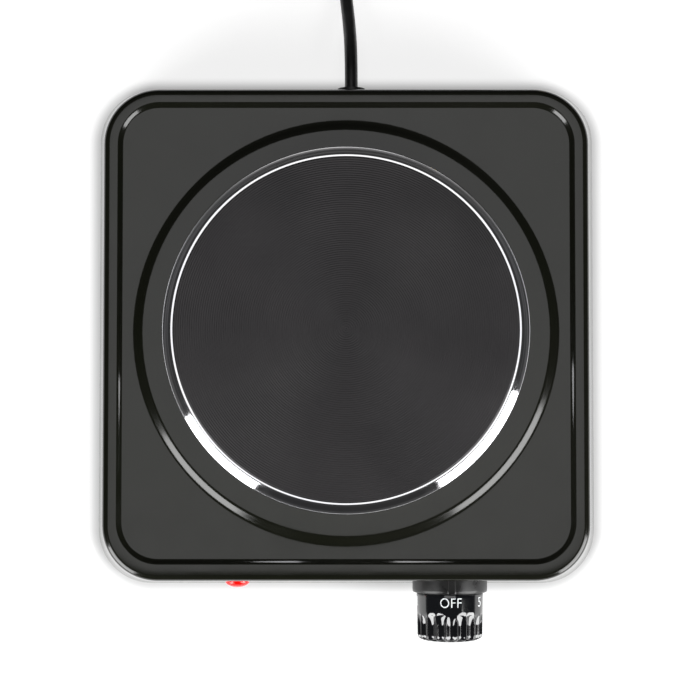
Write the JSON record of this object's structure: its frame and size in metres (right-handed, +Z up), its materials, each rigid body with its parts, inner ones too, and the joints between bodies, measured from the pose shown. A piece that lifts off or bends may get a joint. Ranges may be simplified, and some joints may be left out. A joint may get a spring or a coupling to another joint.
{
  "type": "hot plate burner",
  "caption": "Square table-top hot plate with a round cast-iron plate in a trim ring, a thermostat knob and a pilot lamp at the front, and a mains cord at the back.",
  "frame": {"origin": "on the worktop, in the middle of the footprint of housing and knob, without the cord", "axes": "+Z up, -Y towards the user and the knob, +X to the right"},
  "size_m": [0.2439, 0.3917, 0.066],
  "materials": {
    "black_enamel": "gloss",
    "zinc_steel": "satin",
    "foot_rubber": "matte",
    "plate_iron": "machined, fine rings",
    "ring_chrome": "polished",
    "coil_wire": "oxidised",
    "magnesia": "matte",
    "steatite": "matte",
    "shield_aluminium": "satin",
    "neck_brass": "satin",
    "knob_black": "gloss",
    "bezel_black": "semi-gloss",
    "lens_red": "clear red",
    "bulb_glass": "clear",
    "nylon_black": "matte",
    "cord_black": "satin",
    "wire_green": "satin",
    "wire_blue": "satin",
    "wire_brown": "satin",
    "wire_white": "satin"
  },
  "bodies": {
    "housing": {"top_shell": "black_enamel", "base_plate": "zinc_steel", "base_screws": "zinc_steel", "feet": "foot_rubber", "foot_screws": "zinc_steel", "foot_nuts": "zinc_steel", "hotplate_disc": "plate_iron", "trim_ring": "ring_chrome", "heating_coil": "coil_wire", "insulation_fill": "magnesia", "coil_pins": "zinc_steel", "pin_bushes": "steatite", "element_cover": "zinc_steel", "heat_shield": "shield_aluminium", "mounting_bar": "zinc_steel", "centre_stud": "zinc_steel", "stud_spacers": "zinc_steel", "stud_washer": "zinc_steel", "stud_nut": "zinc_steel", "link_straps": "zinc_steel", "thermostat_body": "steatite", "thermostat_neck": "neck_brass", "thermostat_nut": "zinc_steel", "contact_blades": "zinc_steel", "blade_spacers": "steatite", "bimetal_strip": "zinc_steel", "dial_bezel": "bezel_black", "thermal_fuse": "shield_aluminium", "fuse_strap": "zinc_steel", "lamp_lens": "lens_red", "lamp_bulb": "bulb_glass", "lamp_clip": "zinc_steel", "cord_bush": "nylon_black", "cord_tail": "cord_black", "cord_clamp_base": "nylon_black", "cord_clamp_bar": "nylon_black", "clamp_screws": "zinc_steel", "earth_screw": "zinc_steel", "earth_wire": "wire_green", "neutral_wire": "wire_blue", "live_wire": "wire_brown", "heater_wire": "wire_white", "lamp_wires": "wire_white", "power_cord": "cord_black", "cord_coil": "cord_black", "cord_tie": "nylon_black", "plug_body": "cord_black", "plug_pins": "neck_brass"},
    "control": {"knob": "knob_black", "knob_clip": "zinc_steel", "control_shaft": "zinc_steel"},
    "thermostat_pin": {"adjusting_pin": "steatite"}
  },
  "joints": [
    {"name": "knob_turn", "type": "hinge", "parent": "housing", "child": "control", "pos_m": [0.0469, -0.10515, 0.029], "axis": [0, 1, 0], "range_deg": [0, 300]},
    {"name": "pin_slide", "type": "slide", "parent": "housing", "child": "thermostat_pin", "axis": [0, 1, 0], "range_m": [0, 0.0008]}
  ],
  "couplings": [
    {"joint": "pin_slide", "follows": "knob_turn", "m_per_rad": 0.000152}
  ]
}
